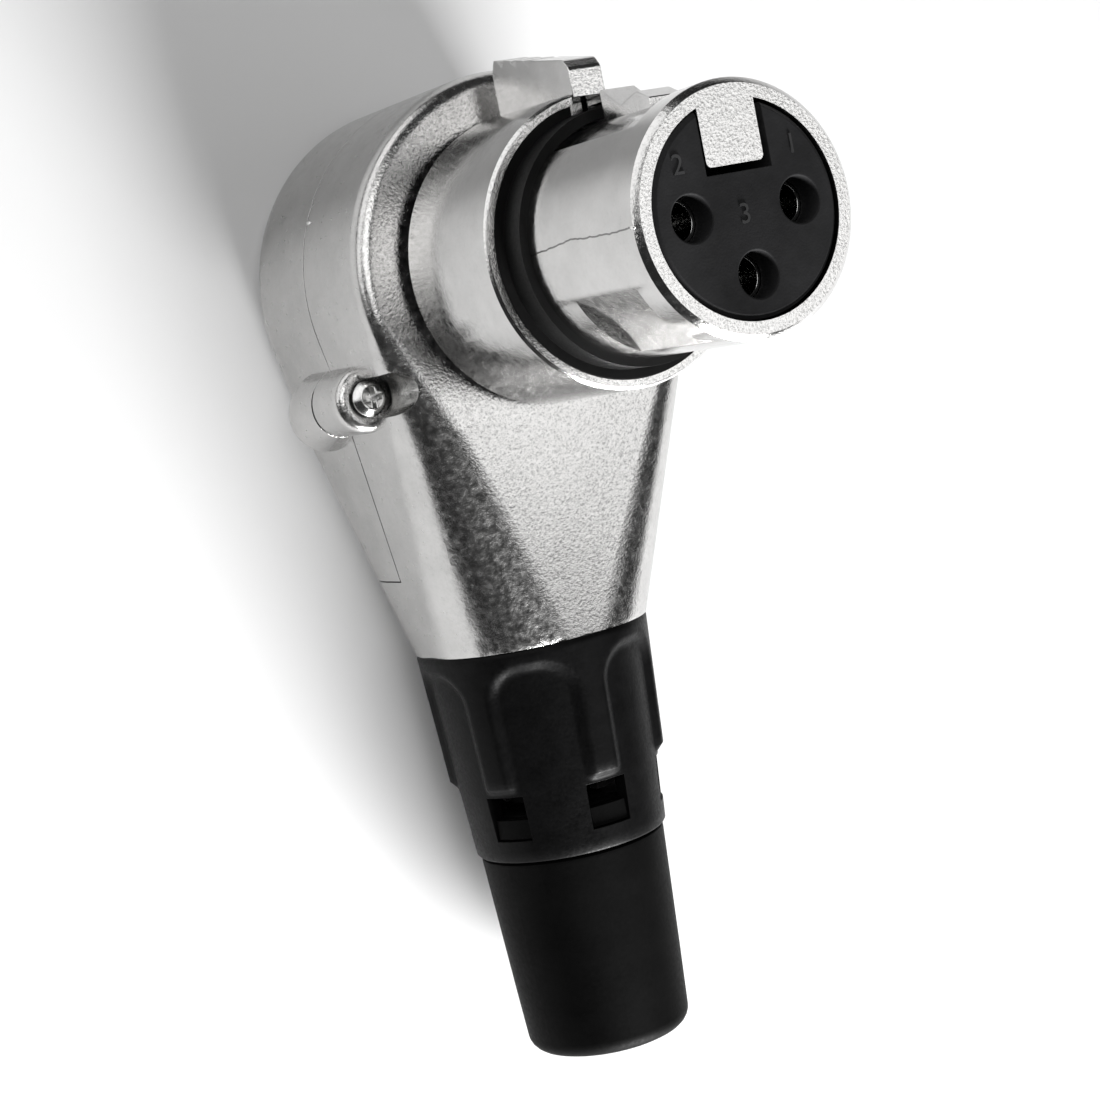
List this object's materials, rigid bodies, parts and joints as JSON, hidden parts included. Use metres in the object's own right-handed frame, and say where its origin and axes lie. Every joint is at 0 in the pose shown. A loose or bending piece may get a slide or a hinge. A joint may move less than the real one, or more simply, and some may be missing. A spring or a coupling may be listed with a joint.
{
  "type": "right angle xlr cable connector, female",
  "caption": "Right angle female audio cable connector with a die-cast case, a press latch and a ribbed cable gland.",
  "frame": {"origin": "on the barrel's axis, at the flat back of the rear cover that it lies on", "axes": "+Z along the barrel out of the mating face, +Y towards the latch, the cable leaves along -Y"},
  "size_m": [0.0298, 0.0722, 0.047],
  "materials": {
    "cast_nickel": "satin nickel plate on a die casting",
    "barrel_nickel": "satin nickel plate, cast grain on the front faces",
    "latch_nickel": "satin nickel plate",
    "screw_steel": "bright zinc plate",
    "spring_steel": "bare spring steel",
    "turned_brass": "turned brass",
    "tinned_brass": "tinned",
    "contact_plating": "bright plated",
    "ring_plastic": "matt black",
    "insert_plastic": "fine matt black moulding",
    "liner_plastic": "natural white moulding",
    "chuck_plastic": "matt dark moulding",
    "collar_plastic": "satin black moulding",
    "boot_rubber": "smooth black rubber"
  },
  "bodies": {
    "connector": {"front_housing": "cast_nickel", "rear_cover": "cast_nickel", "cover_screw_left": "screw_steel", "cover_screw_right": "screw_steel", "barrel_shell": "barrel_nickel", "barrel_nut": "turned_brass", "ground_tag": "tinned_brass", "shoulder_ring": "ring_plastic", "contact_insert": "insert_plastic", "insert_circlip": "spring_steel", "contact_1": "contact_plating", "contact_2": "contact_plating", "contact_3": "contact_plating", "latch_pin": "spring_steel", "latch_spring": "spring_steel", "insulating_liner": "liner_plastic", "cable_chuck": "chuck_plastic", "gland_collar": "collar_plastic", "cable_boot": "boot_rubber"},
    "latch": {"latch_lever": "latch_nickel"}
  },
  "joints": [
    {"name": "latch_press", "type": "hinge", "parent": "connector", "child": "latch", "pos_m": [0, 0.0082, 0.0229], "axis": [1, 0, 0], "range_deg": [0, 6.2], "stiffness_Nm_per_rad": 0.02, "springref_deg": -4.58, "deforming": ["latch_spring"]}
  ]
}
